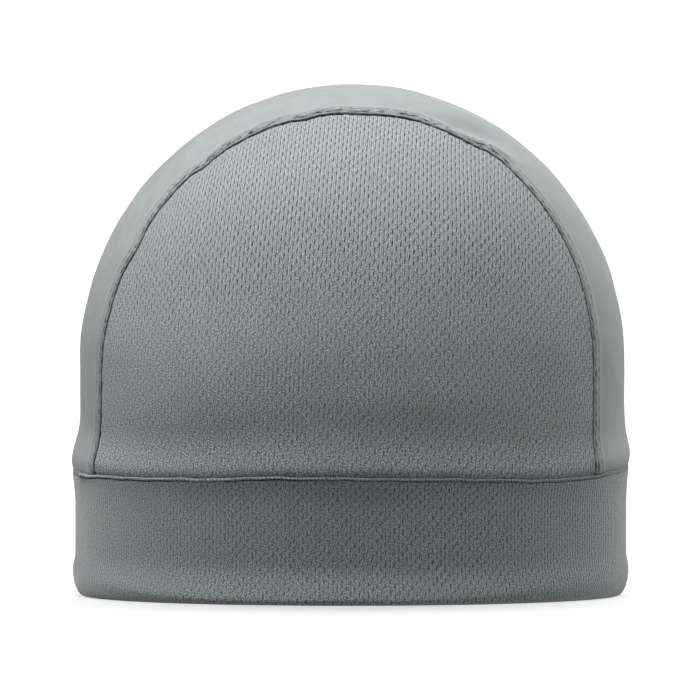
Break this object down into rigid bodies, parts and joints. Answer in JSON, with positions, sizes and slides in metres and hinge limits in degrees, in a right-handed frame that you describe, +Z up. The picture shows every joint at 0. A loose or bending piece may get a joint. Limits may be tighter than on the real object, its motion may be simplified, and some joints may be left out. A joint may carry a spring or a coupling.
{
  "type": "sport beanie",
  "caption": "Round knitted sport beanie with eyelet-mesh side panels, a smooth strip over the top and a folded mesh headband.",
  "frame": {"origin": "centre of the hem, on the surface that the beanie stands on", "axes": "+Z up through the crown, +X towards the wearer's front, -Y towards the wearer's right side"},
  "size_m": [0.1822, 0.1814, 0.1665],
  "materials": {
    "mesh_knit": "grey polyester eyelet mesh, matte",
    "smooth_knit": "grey polyester plain knit, matte with a soft sheen",
    "seam_knit": "grey rolled seam edge, matte",
    "band_knit": "grey polyester eyelet mesh folded double, matte"
  },
  "bodies": {
    "root": {"side_panel_right": "mesh_knit", "side_panel_left": "mesh_knit", "centre_panel": "smooth_knit", "band_seam_lip": "seam_knit", "headband": "band_knit"}
  },
  "joints": []
}
